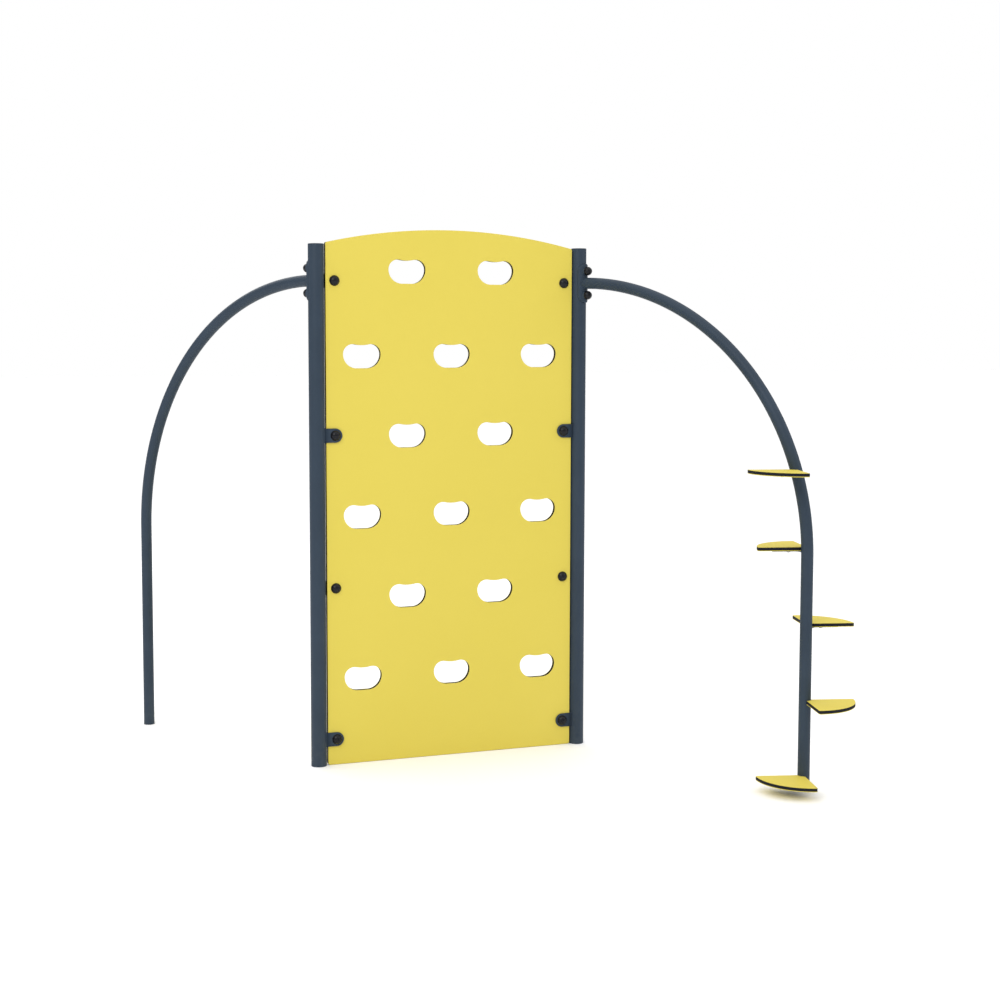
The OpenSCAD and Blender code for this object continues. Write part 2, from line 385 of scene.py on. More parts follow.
def scaled(colour: Colour, factor: float, blue_factor: float | None = None) -> Colour:
    """A colour made darker or lighter.

    Args:
        colour: The colour.
        factor: What it is multiplied by.
        blue_factor: Another factor for its blue, if that changes differently.

    Returns:
        The new colour.
    """
    red, green, blue = colour
    return factor * red, factor * green, (factor if blue_factor is None else blue_factor) * blue


@dataclass(frozen=True)
class PowderCoat:
    """A satin powder coat on steel, with a fine orange peel and a little dust near the ground."""

    name: str = "blue_grey_powder_coat"
    colour: Colour = (0.033, 0.050, 0.073)
    darkest: float = 0.82
    lightest: float = 1.16
    dusty: Colour = (0.11, 0.12, 0.125)
    dust_height: float = 0.25
    most_dust: float = 0.30
    peel_waves: float = 420.0
    peel_depth: float = 0.05 * MM
    roughness: float = 0.40
    gloss: float = 0.16

    def material(self) -> bpy.types.Material:
        """Builds the material."""
        shader = Shader(self.name)
        mottle = shader.noise(7.0, 4.0)
        cloud = shader.noise(38.0, 3.0)
        peel = shader.noise(self.peel_waves, 2.0)
        near_ground = (1.0 - shader.height() / self.dust_height).clamped()
        patches = cloud * 2.0 - 0.7
        dust = (near_ground * near_ground * patches).clamped() * self.most_dust
        coat = shader.mix(mottle, scaled(self.colour, self.darkest), scaled(self.colour, self.lightest))
        return shader.finish({
            "Base Color": shader.mix(dust, coat, self.dusty),
            "Roughness": self.roughness + 0.10 * cloud + 0.3 * dust,
            "Specular IOR Level": self.gloss,
            "Normal": shader.bump(peel, self.peel_depth),
        })


@dataclass(frozen=True)
class BoardSkin:
    """The coloured outer layer of a sandwich board: pebbled polyethylene."""

    name: str = "yellow_board_skin"
    colour: Colour = (0.700, 0.575, 0.090)
    deepest: tuple[float, float] = (0.965, 0.86)
    palest: tuple[float, float] = (1.035, 1.12)
    pebbles: float = 330.0
    pebble_depth: float = 0.10 * MM
    roughness: float = 0.50
    gloss: float = 0.25

    def material(self) -> bpy.types.Material:
        """Builds the material."""
        shader = Shader(self.name)
        wide = shader.noise(1.7, 3.0)
        fine = shader.noise(160.0, 3.0)
        rubbed = ((shader.noise(9.0, 5.0) - 0.58) * 5.0).clamped()
        deeper = scaled(self.colour, *self.deepest)
        paler = scaled(self.colour, *self.palest)
        grain = shader.cells(self.pebbles) + 0.35 * fine
        return shader.finish({
            "Base Color": shader.mix(0.7 * wide + 0.3 * fine, deeper, paler),
            "Roughness": self.roughness + 0.10 * fine - 0.10 * rubbed,
            "Specular IOR Level": self.gloss,
            "Normal": shader.bump(grain, self.pebble_depth),
        })


@dataclass(frozen=True)
class BoardCore:
    """The dark middle layer of a sandwich board, with the cutter's marks across its thickness."""

    name: str
    across: Axis
    gloss: float
    colour: Colour = (0.011, 0.012, 0.016)
    fleck: Colour = (0.045, 0.047, 0.052)
    mark_waves: float = 520.0
    mark_depth: float = 0.12 * MM
    mark_stretch: float = 0.04
    fleck_waves: float = 620.0
    roughness: float = 0.70

    def material(self) -> bpy.types.Material:
        """Builds the material."""
        shader = Shader(self.name)
        stretch = Vector((1.0, 1.0, 1.0))
        stretch[self.across.value] = self.mark_stretch
        marks = shader.noise(self.mark_waves, 2.0, stretch)
        flecks = ((shader.noise(self.fleck_waves, 1.0) - 0.66) * 9.0).clamped()
        return shader.finish({
            "Base Color": shader.mix(0.5 * flecks, self.colour, self.fleck),
            "Roughness": self.roughness + 0.15 * marks,
            "Specular IOR Level": self.gloss,
            "Normal": shader.bump(marks, self.mark_depth),
        })


@dataclass(frozen=True)
class CapPlastic:
    """Glossy moulded plastic with a faint mould texture."""

    name: str = "black_cap_plastic"
    colour: Colour = (0.0055, 0.006, 0.008)
    lightest: float = 1.7
    texture_waves: float = 900.0
    texture_depth: float = 0.02 * MM
    roughness: float = 0.20
    gloss: float = 0.22

    def material(self) -> bpy.types.Material:
        """Builds the material."""
        shader = Shader(self.name)
        smear = shader.noise(85.0, 3.0)
        texture = shader.noise(self.texture_waves, 2.0)
        return shader.finish({
            "Base Color": shader.mix(smear, self.colour, scaled(self.colour, self.lightest)),
            "Roughness": self.roughness + 0.14 * smear,
            "Specular IOR Level": self.gloss,
            "Normal": shader.bump(texture, self.texture_depth),
        })


@dataclass(frozen=True)
class ZincPlate:
    """Zinc-plated steel, slightly clouded."""

    name: str = "zinc_plated_steel"
    colour: Colour = (0.58, 0.59, 0.60)
    dullest: float = 0.72
    roughness: float = 0.28
    cloud_depth: float = 0.02 * MM

    def material(self) -> bpy.types.Material:
        """Builds the material."""
        shader = Shader(self.name)
        cloud = shader.noise(140.0, 4.0)
        return shader.finish({
            "Base Color": shader.mix(cloud, scaled(self.colour, self.dullest), self.colour),
            "Metallic": 1.0,
            "Roughness": self.roughness + 0.20 * cloud,
            "Normal": shader.bump(cloud, self.cloud_depth),
        })


@dataclass(frozen=True)
class StudioFloor:
    """The plain pale floor that the wall stands on."""

    name: str = "studio_floor"
    colour: Colour = (0.965, 0.965, 0.97)
    lightest: float = 1.01
    roughness: float = 0.9

    def material(self) -> bpy.types.Material:
        """Builds the material."""
        shader = Shader(self.name)
        cloud = shader.noise(1.3, 2.0)
        return shader.finish({
            "Base Color": shader.mix(cloud, self.colour, scaled(self.colour, self.lightest)),
            "Roughness": self.roughness,
            "Specular IOR Level": 0.0,
        })


# ---- Meshes ----


def linked(name: str, data: bpy.types.ID) -> bpy.types.Object:
    """Adds an object with the given data to the scene."""
    item = bpy.data.objects.new(name, data)
    bpy.context.scene.collection.objects.link(item)
    return item


def evaluated(data: bpy.types.ID,
              set_up: Callable[[bpy.types.Object], None] | None = None) -> bpy.types.Mesh:
    """Carries a mesh or curve on a passing object and returns what its modifiers make of it.

    Args:
        data: The mesh or curve.
        set_up: Adds the modifiers.

    Returns:
        The plain mesh.
    """
    carrier = linked("carrier", data)
    if set_up is not None:
        set_up(carrier)
    depsgraph = bpy.context.evaluated_depsgraph_get()
    mesh = bpy.data.meshes.new_from_object(carrier.evaluated_get(depsgraph))
    bpy.data.objects.remove(carrier)
    return mesh


def reshape(mesh: bpy.types.Mesh, change: Callable[[bmesh.types.BMesh], None]) -> bpy.types.Mesh:
    """Works on a mesh as a BMesh.

    Args:
        mesh: The mesh, which is changed.
        change: The work.

    Returns:
        The same mesh.
    """
    working = bmesh.new()
    working.from_mesh(mesh)
    change(working)
    working.to_mesh(mesh)
    working.free()
    return mesh


def creased(mesh: bpy.types.Mesh, sharp: float = SHARP_ANGLE) -> bpy.types.Mesh:
    """Keeps edges sharp from an angle in degrees."""
    mesh.set_sharp_from_angle(angle=math.radians(sharp))
    return mesh


def tidied(mesh: bpy.types.Mesh, sharp: float = SHARP_ANGLE) -> bpy.types.Mesh:
    """Merges doubles, turns faces outwards and shades smoothly up to an angle.

    Args:
        mesh: The mesh, which is changed.
        sharp: The angle in degrees from which an edge stays sharp.

    Returns:
        The same mesh.
    """

    def change(working: bmesh.types.BMesh) -> None:
        bmesh.ops.remove_doubles(working, verts=working.verts, dist=MERGE_DISTANCE)
        bmesh.ops.dissolve_degenerate(working, edges=working.edges, dist=MERGE_DISTANCE / 10)
        bmesh.ops.recalc_face_normals(working, faces=working.faces)
        for face in working.faces:
            face.smooth = True

    return creased(reshape(mesh, change), sharp)


def arc(centre: Point, radius: float, start: float, end: float, count: int) -> list[Point]:
    """Points along an arc, both ends included.

    Args:
        centre: The arc's centre.
        radius: Its radius.
        start: The direction of its first point, in degrees.
        end: The direction of its last point.
        count: How many steps it has.

    Returns:
        The points.
    """
    turns = [math.radians(start + (end - start) * i / count) for i in range(count + 1)]
    return [(centre[0] + radius * math.cos(a), centre[1] + radius * math.sin(a)) for a in turns]


def circle(centre: Point, radius: float, count: int = 32) -> list[Point]:
    """Points round a circle."""
    return arc(centre, radius, 0.0, 360.0, count)[:-1]


def sheet(outlines: Iterable[Sequence[Point]], thickness: float, ease: float) -> bpy.types.Mesh:
    """Cuts a plate from flat stock, centred on z = 0, and eases its edges.

    Args:
        outlines: The outer outline and those of the openings.
        thickness: The plate's thickness.
        ease: The radius of its edges.

    Returns:
        The plate.
    """
    curve = bpy.data.curves.new("outline", "CURVE")
    curve.dimensions = "2D"
    curve.fill_mode = "BOTH"
    curve.extrude = thickness / 2 - ease
    curve.bevel_depth = ease
    curve.bevel_resolution = 2
    curve.offset = -ease
    for outline in outlines:
        spline = curve.splines.new("POLY")
        spline.points.add(len(outline) - 1)
        spline.points.foreach_set("co", [v for x, y in outline for v in (x, y, 0.0, 1.0)])
        spline.use_cyclic_u = True
    return tidied(evaluated(curve))


def lathe(profile: Sequence[Point], sides: int, closed: bool = False) -> bpy.types.Mesh:
    """Turns an outline round z.

    Args:
        profile: The outline's (radius, height) points.
        sides: How many steps a turn has.
        closed: True for a ring, whose last point joins its first.

    Returns:
        The turned body.
    """

    def change(working: bmesh.types.BMesh) -> None:
        rings = []
        for radius, height in profile:
            turns = [2 * math.pi * i / sides for i in range(sides)] if radius > 0 else [0.0]
            places = [(radius * math.cos(a), radius * math.sin(a), height) for a in turns]
            rings.append([working.verts.new(place) for place in places])
        pairs = list(zip(rings, rings[1:] + rings[:1])) if closed else list(zip(rings, rings[1:]))
        for low, high in pairs:
            for i in range(sides):
                j = (i + 1) % sides
                corners = [low[i % len(low)], low[j % len(low)], high[j % len(high)], high[i % len(high)]]
                working.faces.new(list(dict.fromkeys(corners)))

    return tidied(reshape(bpy.data.meshes.new("turned"), change))


def eased_ring(inner: float, outer: float, low: float, high: float, ease: float) -> list[Point]:
    """The section of a tube whose two outer edges are rounded."""
    return [
        (inner, low),
        *arc((outer - ease, low + ease), ease, -90.0, 0.0, 4),
        *arc((outer - ease, high - ease), ease, 0.0, 90.0, 4),
        (inner, high),
    ]


def placed(mesh: bpy.types.Mesh, matrix: Matrix) -> bpy.types.Mesh:
    """Moves a mesh, and keeps its faces pointing outwards when the move mirrors it."""
    mesh.transform(matrix)
    if matrix.determinant() < 0:
        mesh.flip_normals()
    return mesh


def cut(mesh: bpy.types.Mesh, cutter: bpy.types.Mesh) -> bpy.types.Mesh:
    """Takes one closed body away from another.

    Args:
        mesh: What is cut.
        cutter: What is taken away.

    Returns:
        What is left, as a new mesh.
    """
    tool = linked("cutter", cutter)

    def set_up(carrier: bpy.types.Object) -> None:
        modifier = carrier.modifiers.new("cut", "BOOLEAN")
        modifier.operation = "DIFFERENCE"
        modifier.solver = "EXACT"
        modifier.object = tool

    left = evaluated(mesh, set_up)
    bpy.data.objects.remove(tool)
    return left


def slice_up(working: bmesh.types.BMesh, place: Vector, normal: Vector) -> None:
    """Divides every face that a plane crosses.

    Args:
        working: The mesh in work.
        place: A point of the plane.
        normal: The plane's normal.
    """
    everything = [*working.verts, *working.edges, *working.faces]
    bmesh.ops.bisect_plane(working, geom=everything, plane_co=place, plane_no=normal)


def layered(mesh: bpy.types.Mesh, axis: Axis, middle: float, core: float) -> bpy.types.Mesh:
    """Splits a board's walls where its layers meet, and gives the core's faces the second material.

    Flat faces are shaded flat, so that only the eased edges and walls are smooth.

    Args:
        mesh: The board, which is changed.
        axis: The direction of its thickness.
        middle: Where the middle of its thickness lies on that axis.
        core: The core's thickness.

    Returns:
        The same mesh.
    """
    normal = Vector((0.0, 0.0, 0.0))
    normal[axis.value] = 1.0

    def change(working: bmesh.types.BMesh) -> None:
        for offset in (-core / 2, core / 2):
            slice_up(working, normal * (middle + offset), normal)
        for face in working.faces:
            inside = abs(face.calc_center_median()[axis.value] - middle) < core / 2
            face.material_index = 1 if inside else 0
            face.smooth = abs(face.normal[axis.value]) < FLAT_NORMAL

    return reshape(mesh, change)


def wrapped(mesh: bpy.types.Mesh, inner: float, half_width: float, strips: int) -> bpy.types.Mesh:
    """Bends a plate round z so that it hugs a round post.

    The plate's x becomes the distance across, its y the height, and its z the distance from the post.

    Args:
        mesh: The plate, which is changed.
        inner: The radius that its back lies on.
        half_width: Half the plate's width.
        strips: How many strips it is divided into.

    Returns:
        The same mesh.
    """

    def change(working: bmesh.types.BMesh) -> None:
        for i in range(1, strips):
            across = half_width * (2.0 * i / strips - 1.0)
            slice_up(working, Vector((across, 0, 0)), Vector((1, 0, 0)))
        back = min(v.co.z for v in working.verts)
        for v in working.verts:
            across, height, out = v.co
            radius = inner + out - back
            v.co = (math.sqrt(radius**2 - across**2), across, height)

    return tidied(reshape(mesh, change), BENT_SHARP_ANGLE)


def piece(name: str, mesh: bpy.types.Mesh, nodes: Iterable[str],
          materials: Sequence[bpy.types.Material]) -> bpy.types.Object:
    """Adds a finished piece to the object.

    Args:
        name: The piece's name.
        mesh: Its mesh, in place.
        nodes: The frame's nodes that it stands for.
        materials: Its materials, in the order of its faces' indices.

    Returns:
        The piece.
    """
    mesh.name = name
    indices = [face.material_index for face in mesh.polygons]
    mesh.materials.clear()
    for material in materials:
        mesh.materials.append(material)
    if len(materials) > 1:
        mesh.polygons.foreach_set("material_index", indices)
    item = linked(name, mesh)
    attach(item, "root")
    nodes = list(nodes)
    if nodes:
        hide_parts(*nodes)
    log.info("%s: %d faces", name, len(mesh.polygons))
    return item


# ---- Trees for what repeats or follows a path ----


def scatter_tree() -> GeometryTree:
    """A tree that sets a copy of one object on each point, facing the way the point says."""
    tree = GeometryTree("set_on_points", {
        "Part": "Object", "Turn Seed": "Int", "Turn": "Float", "Material": "Material",
    })
    facing = tree.add("GeometryNodeInputNamedAttribute", {"data_type": "FLOAT_VECTOR"}, {"Name": "facing"})
    upright = tree.add("FunctionNodeAlignRotationToVector", {"axis": "Z"},
                       {"Vector": facing.outputs["Attribute"]})
    spin = tree.number("FunctionNodeRandomValue", {"data_type": "FLOAT"},
                       {"Min_001": 0.0, "Max_001": 1.0, "Seed": tree.given("Turn Seed")}, "Value_001")
    about = tree.add("ShaderNodeCombineXYZ", {}, {"Z": spin * tree.given("Turn")})
    turned = tree.add("FunctionNodeRotateRotation", {"rotation_space": "LOCAL"},
                      {"Rotation": upright.outputs[0], "Rotate By": about.outputs[0]})
    part = tree.add("GeometryNodeObjectInfo", {}, {"Object": tree.given("Part")})
    copies = tree.add("GeometryNodeInstanceOnPoints", {}, {
        "Points": tree.source.outputs["Geometry"], "Instance": part.outputs["Geometry"],
        "Rotation": turned.outputs[0],
    })
    tree.close(copies.outputs[0])
    return tree


def weld_tree() -> GeometryTree:
    """A tree that lays a rippled weld bead along each line of edges."""
    tree = GeometryTree("weld_bead", {
        "Radius": "Float", "Ripple": "Float", "Depth": "Float", "Material": "Material",
    })
    path = tree.add("GeometryNodeMeshToCurve", {}, {"Mesh": tree.source.outputs["Geometry"]})
    fine = tree.add("GeometryNodeResampleCurve", {"mode": "LENGTH"},
                    {"Curve": path.outputs[0], "Length": tree.given("Ripple") / POINTS_PER_RIPPLE})
    along = tree.number("GeometryNodeSplineParameter", {}, {}, "Length") / tree.given("Ripple")
    ripple = along.maths("ABSOLUTE", along.maths("SINE", along * math.pi))
    swell = 1.0 - tree.given("Depth") * (1.0 - ripple)
    section = tree.add("GeometryNodeCurvePrimitiveCircle", {},
                       {"Resolution": BEAD_SIDES, "Radius": tree.given("Radius")})
    bead = tree.add("GeometryNodeCurveToMesh", {}, {
        "Curve": fine.outputs[0], "Profile Curve": section.outputs[0], "Scale": swell, "Fill Caps": True,
    })
    tree.close(bead.outputs[0])
    return tree


def arch_tree() -> GeometryTree:
    """A tree that bends a round bar: a quarter bend down from the post, and a leg to the ground."""
    tree = GeometryTree("bent_bar", {
        "Bend Start": "Float", "Bend Radius": "Float", "Height": "Float", "Bar Radius": "Float",
        "Cope Radius": "Float", "Turn": "Float", "Post": "Vector", "Caps": "Bool", "Material": "Material",
    })
    bend, height = tree.given("Bend Radius"), tree.given("Height")
    quarter = bend * (math.pi / 2)
    line = tree.add("GeometryNodeCurvePrimitiveLine", {}, {"End": Vector((1.0, 0.0, 0.0))})
    fine = tree.add("GeometryNodeResampleCurve", {}, {"Curve": line.outputs[0], "Count": BAR_POINTS})
    gone = tree.number("GeometryNodeSplineParameter", {}, {}, "Factor") * (quarter + height - bend)
    in_bend = gone.maths("MINIMUM", gone, quarter)
    angle = in_bend / bend
    out = tree.given("Bend Start") + bend * angle.maths("SINE", angle)
    up = height - bend + bend * angle.maths("COSINE", angle) - (gone - in_bend)
    along = tree.add("ShaderNodeCombineXYZ", {}, {"X": out, "Z": up})
    path = tree.add("GeometryNodeSetPosition", {},
                    {"Geometry": fine.outputs[0], "Position": along.outputs[0]})
    section = tree.add("GeometryNodeCurvePrimitiveCircle", {},
                       {"Resolution": BAR_SIDES, "Radius": tree.given("Bar Radius")})
    bar = tree.add("GeometryNodeCurveToMesh", {}, {
        "Curve": path.outputs[0], "Profile Curve": section.outputs[0], "Fill Caps": tree.given("Caps"),
    })
    split = tree.add("ShaderNodeSeparateXYZ", {}, {0: tree.add("GeometryNodeInputPosition").outputs[0]})
    x, y, z = (Num(tree, socket) for socket in split.outputs)
    cope = tree.given("Cope Radius")
    surface = x.maths("SQRT", x.maths("MAXIMUM", cope * cope - y * y, 0.0))
    coped = tree.add("ShaderNodeCombineXYZ", {}, {"X": x.maths("MAXIMUM", x, surface), "Y": y, "Z": z})
    fitted = tree.add("GeometryNodeSetPosition", {},
                      {"Geometry": bar.outputs[0], "Position": coped.outputs[0]})
    turn = tree.add("ShaderNodeCombineXYZ", {}, {"Z": tree.given("Turn")})
    there = tree.add("GeometryNodeTransform", {}, {
        "Geometry": fitted.outputs[0], "Translation": tree.given("Post"), "Rotation": turn.outputs[0],
    })
    tree.close(there.outputs[0])
    return tree


@dataclass
class Workshop:
    """The finishes and node trees that the sub-assemblies share."""

    turn_seed: int = 7
    weld_ripple: float = 2.2 * MM
    weld_depth: float = 0.22
    weld_sharp: float = 60.0

    def __post_init__(self) -> None:
        """Makes each finish and each tree once."""
        self.steel = PowderCoat().material()
        self.skin = BoardSkin().material()
        self.wall_core = BoardCore("dark_wall_core", Axis.Y, gloss=0.02).material()
        self.step_core = BoardCore("dark_step_core", Axis.Z, gloss=0.14).material()
        self.cap = CapPlastic().material()
        self.zinc = ZincPlate().material()
        self.scatter = scatter_tree()
        self.weld = weld_tree()
        self.arch = arch_tree()

    def steelwork(self, name: str, mesh: bpy.types.Mesh, *nodes: str) -> None:
        """Adds a powder-coated piece.

        Args:
            name: The piece's name.
            mesh: Its mesh, in place.
            nodes: The frame's nodes that it stands for, or none for a weld.
        """
        piece(name, mesh, nodes, [self.steel])

    def copies(self, master: bpy.types.Mesh, points: Sequence[tuple[Vector, Vector]],
               material: bpy.types.Material, turn: float = 0.0) -> bpy.types.Mesh:
        """Sets a copy of a body on each point.

        Args:
            master: The body, standing on z = 0.
            points: The place and facing of each copy.
            material: The copies' material.
            turn: The range of their random turns about their own axes.

        Returns:
            All the copies as one mesh.
        """
        cloud = bpy.data.meshes.new("points")
        cloud.from_pydata([tuple(place) for place, _ in points], [], [])
        facing = cloud.attributes.new("facing", "FLOAT_VECTOR", "POINT")
        facing.data.foreach_set("vector", [v for _, way in points for v in way])
        part = linked("master", master)
        mesh = self.scatter.run(cloud, {
            "Part": part, "Turn Seed": self.turn_seed, "Turn": turn, "Material": material,
        })
        bpy.data.objects.remove(part)
        return mesh

    def covers(self, node: str, cover: bpy.types.Mesh, points: Sequence[tuple[Vector, Vector]]) -> None:
        """Sets domed covers over fixings.

        Args:
            node: The frame's node that they stand for.
            cover: One cover.
            points: The place and facing of each.
        """
        mesh = self.copies(cover, points, self.cap)
        piece(f"{node}_domed", mesh, [node], [self.cap])

    def bead(self, path: Sequence[Vector], radius: float, closed: bool) -> bpy.types.Mesh:
        """Lays a weld bead.

        Args:
            path: The points of its line.
            radius: Its radius.
            closed: True if it ends where it starts.

        Returns:
            The bead.
        """
        count = len(path)
        steps = count if closed else count - 1
        lines = bpy.data.meshes.new("lines")
        lines.from_pydata([tuple(p) for p in path], [(i, (i + 1) % count) for i in range(steps)], [])
        values = {
            "Radius": radius, "Ripple": self.weld_ripple, "Depth": self.weld_depth, "Material": self.steel,
        }
        return tidied(self.weld.run(lines, values), self.weld_sharp)


# ---- Where the frame puts things ----


@dataclass(frozen=True)
class Layout:
    """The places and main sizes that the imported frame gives."""

    post_radius: float
    post_height: float
    spacing: float
    board_low: Vector
    board_high: Vector
    tube_radius: float
    arch_height: float
    leg: Vector

    @classmethod
    def from_frame(cls, tube_radius: float) -> "Layout":
        """Reads the frame.

        Args:
            tube_radius: The outside radius of an arch tube.

        Returns:
            The layout.
        """
        left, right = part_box("left_post"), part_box("right_post")
        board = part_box("wall_board")
        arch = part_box("left_arch_tube")
        return cls(
            post_radius=(left[1][0] - left[0][0]) / 2,
            post_height=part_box("left_post_cap")[1][2],
            spacing=(right[0][0] + right[1][0] - left[0][0] - left[1][0]) / 2,
            board_low=Vector(board[0]),
            board_high=Vector(board[1]),
            tube_radius=tube_radius,
            arch_height=arch[1][2] - tube_radius,
            leg=Vector((arch[0][0] + tube_radius, arch[1][1] - tube_radius, 0.0)),
        )

    @property
    def middle(self) -> float:
        """The x of the wall's middle."""
        return self.spacing / 2

    def post(self, side: Side) -> Vector:
        """The middle of a post's foot."""
        return Vector((0.0 if side is Side.LEFT else self.spacing, 0.0, 0.0))

    def mirror(self, side: Side) -> Matrix:
        """The move from the left-hand end to this one, in the mirror of the wall's middle."""
        if side is Side.LEFT:
            return Matrix.Identity(4)
        return Matrix.Translation((self.spacing, 0, 0)) @ Matrix.Scale(-1, 4, (1, 0, 0))

    def arch_turn(self, side: Side) -> float:
        """The direction in which an arch leaves its post."""
        turn = math.atan2(self.leg.y, self.leg.x)
        return turn if side is Side.LEFT else turn - math.pi

    def along_arch(self, side: Side) -> Matrix:
        """Turns x into the direction of an arch, from its post."""
        return Matrix.Translation(self.post(side)) @ Matrix.Rotation(self.arch_turn(side), 4, "Z")


# ---- Sub-assemblies ----


@dataclass
class Posts:
    """The two round posts and the caps that close them."""

    layout: Layout
    shop: Workshop
    wall: float = 3.0 * MM
    lid: float = 3.0 * MM
    plug_depth: float = 22.0 * MM
    plug_wall: float = 2.5 * MM
    ease: float = 0.8 * MM
    lid_ease: float = 1.6 * MM
    shadow_gap: float = 0.5 * MM
    sides: int = 96

    def build(self) -> None:
        """Makes both posts and both caps."""
        for side in Side:
            there = Matrix.Translation(self.layout.post(side))
            name = side.value
            self.shop.steelwork(f"{name}_post_tube", placed(self.tube(), there), f"{name}_post")
            self.shop.steelwork(f"{name}_post_lid", placed(self.cap(), there), f"{name}_post_cap")

    def tube(self) -> bpy.types.Mesh:
        """A post's tube, eased at both ends."""
        outer = self.layout.post_radius
        top = self.layout.post_height - self.lid
        return lathe(eased_ring(outer - self.wall, outer, 0.0, top, self.ease), self.sides, closed=True)

    def cap(self) -> bpy.types.Mesh:
        """A flat cap with a rounded rim, a fine shadow gap under it and a plug inside the tube."""
        outer, top = self.layout.post_radius, self.layout.post_height
        plug = outer - self.wall
        under = top - self.lid
        profile = [
            (0.0, top),
            *arc((outer - self.lid_ease, top - self.lid_ease), self.lid_ease, 90.0, 0.0, 5),
            (outer, under + self.shadow_gap),
            (outer - self.shadow_gap, under),
            (plug, under),
            (plug, under - self.plug_depth),
            (plug - self.plug_wall, under - self.plug_depth),
            (plug - self.plug_wall, under),
            (0.0, under),
        ]
        return lathe(profile, self.sides)


@dataclass
class WallBoard:
    """The climbing board: dark core between two yellow skins, with rows of bean-shaped openings."""

    layout: Layout
    shop: Workshop
    bolts: Sequence[Point]
    skin: float = 3.0 * MM
    ease: float = 1.2 * MM
    top_radius: float = 2.200
    top_shift: float = 20.0 * MM
    corner_radius: float = 8.0 * MM
    opening_width: float = 149.0 * MM
    opening_height: float = 92.0 * MM
    lobe_radius: float = 38.0 * MM
    dip: float = 4.0 * MM
    rows: tuple[float, ...] = (0.285, 0.599, 0.914, 1.223, 1.530, 1.853)
    pitch: float = 363.0 * MM
    bolt_hole: float = 5.5 * MM

    def build(self) -> None:
        """Makes the board."""
        thickness = self.layout.board_high.y - self.layout.board_low.y
        holes = [circle((x - self.layout.middle, z), self.bolt_hole, 24) for x, z in self.bolts]
        mesh = sheet([self.outline(), *self.openings(), *holes], thickness, self.ease)
        upright = Matrix.Translation((self.layout.middle, 0, 0)) @ Matrix.Rotation(math.pi / 2, 4, "X")
        placed(mesh, upright)
        layered(mesh, Axis.Y, 0.0, thickness - 2 * self.skin)
        layers = [self.shop.skin, self.shop.wall_core]
        piece("wall_board_sandwich", mesh, ["wall_board"], layers)

    def outline(self) -> list[Point]:
        """The board's outer outline, x from its middle."""
        low, high = self.layout.board_low, self.layout.board_high
        corner = self.corner_radius
        reach = (high.x - low.x) / 2 - corner
        centre = (-self.top_shift, high.z - self.top_radius)
        inner = self.top_radius - corner
        right = math.degrees(math.asin((reach + self.top_shift) / inner))
        left = math.degrees(math.asin((reach - self.top_shift) / inner))
        right_shoulder = centre[1] + inner * math.cos(math.radians(right))
        left_shoulder = centre[1] + inner * math.cos(math.radians(left))
        return [
            *arc((reach, low.z + corner), corner, -90.0, 0.0, 8),
            *arc((reach, right_shoulder), corner, 0.0, 90.0 - right, 8),
            *arc(centre, self.top_radius, 90.0 - right, 90.0 + left, 96)[1:-1],
            *arc((-reach, left_shoulder), corner, 90.0 + left, 180.0, 8),
            *arc((-reach, low.z + corner), corner, 180.0, 270.0, 8),
        ]

    def opening(self) -> list[Point]:
        """One opening with its lower edge on y = 0: two lobes with a dip between them, and wide heels."""
        lobe_x = self.opening_width / 2 - self.lobe_radius
        lobe_y = self.opening_height - self.lobe_radius
        heel_x = self.opening_width / 2 - lobe_y
        above = self.lobe_radius - self.dip
        dip_radius = (lobe_x**2 + above**2 - self.lobe_radius**2) / (2 * self.dip)
        lean = math.degrees(math.asin(lobe_x / (dip_radius + self.lobe_radius)))
        right = [
            *arc((heel_x, lobe_y), lobe_y, -90.0, 0.0, 20),
            *arc((lobe_x, lobe_y), self.lobe_radius, 0.0, 90.0 + lean, 24)[1:],
        ]
        dip_centre = (0.0, self.opening_height - self.dip + dip_radius)
        between = arc(dip_centre, dip_radius, lean - 90.0, -90.0 - lean, 12)[1:-1]
        left = [(-x, y) for x, y in reversed(right)]
        return [*right, *between, *left]

    def openings(self) -> list[list[Point]]:
        """All the openings: three and two to a row by turns."""
        outline = self.opening()
        found = []
        for row, z in enumerate(self.rows):
            count = 3 if row % 2 == 0 else 2
            for k in range(count):
                x = (k - (count - 1) / 2) * self.pitch
                found.append([(px + x, py + z) for px, py in outline])
        return found


